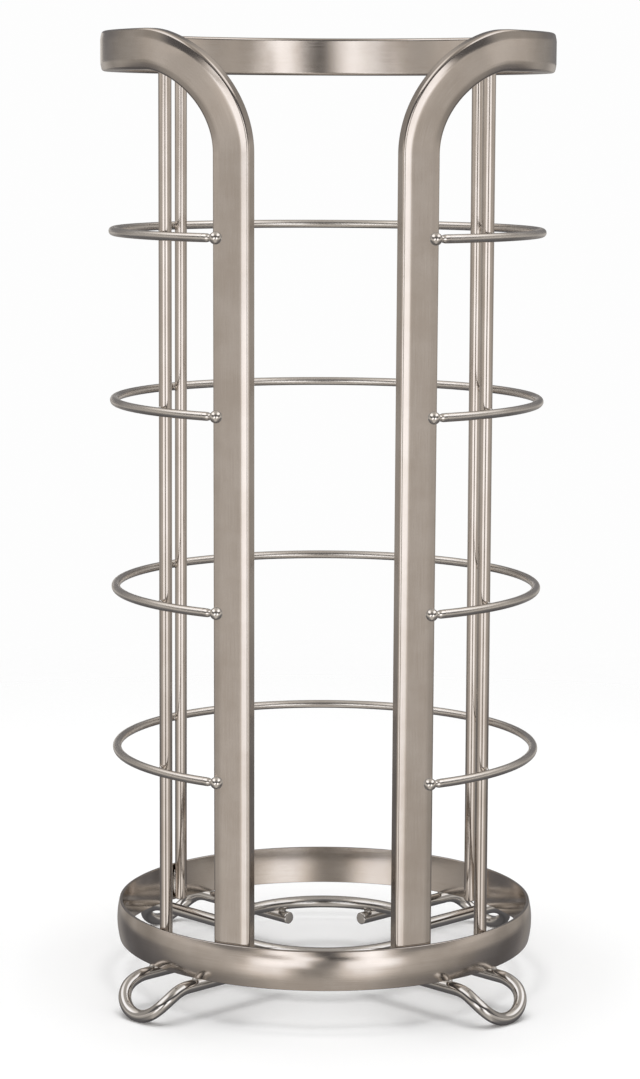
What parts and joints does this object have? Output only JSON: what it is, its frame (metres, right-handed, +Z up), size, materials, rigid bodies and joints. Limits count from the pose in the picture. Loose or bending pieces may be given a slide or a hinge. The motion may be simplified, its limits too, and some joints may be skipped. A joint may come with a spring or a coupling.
{
  "type": "toilet paper holder",
  "caption": "Freestanding round cage of satin nickel bar and wire that stores a stack of spare toilet rolls, with an open front, a carrying rail and looped wire feet.",
  "frame": {"origin": "on the floor, under the centre of the outline; the axis of the round cage lies 2.5 mm in front of it, at y = -2.5 mm, because only the rail widens the back", "axes": "+Z up, the open front with its two flat legs faces -Y, +X to the right as seen from the front"},
  "size_m": [0.1784, 0.1734, 0.3784],
  "materials": {
    "bar_nickel": "satin nickel plate over fine length-wise brushing, warm grey",
    "hoop_nickel": "satin nickel plate, brushed round the hoop",
    "rod_nickel": "satin nickel plate, drawn along the rod",
    "wire_nickel": "satin nickel plate on drawn wire, a little brighter than the bar",
    "ball_nickel": "bright nickel plate"
  },
  "bodies": {
    "root": {"leg_and_rail_bar": "bar_nickel", "base_hoop": "hoop_nickel", "floor_ring": "wire_nickel", "front_left_rod": "rod_nickel", "front_left_foot_wire": "wire_nickel", "front_right_rod": "rod_nickel", "front_right_foot_wire": "wire_nickel", "rear_left_rod": "rod_nickel", "rear_left_foot_wire": "wire_nickel", "rear_right_rod": "rod_nickel", "rear_right_foot_wire": "wire_nickel", "guard_wire_1": "wire_nickel", "guard_wire_1_left_ball": "ball_nickel", "guard_wire_1_right_ball": "ball_nickel", "guard_wire_2": "wire_nickel", "guard_wire_2_left_ball": "ball_nickel", "guard_wire_2_right_ball": "ball_nickel", "guard_wire_3": "wire_nickel", "guard_wire_3_left_ball": "ball_nickel", "guard_wire_3_right_ball": "ball_nickel", "guard_wire_4": "wire_nickel", "guard_wire_4_left_ball": "ball_nickel", "guard_wire_4_right_ball": "ball_nickel"}
  },
  "joints": []
}
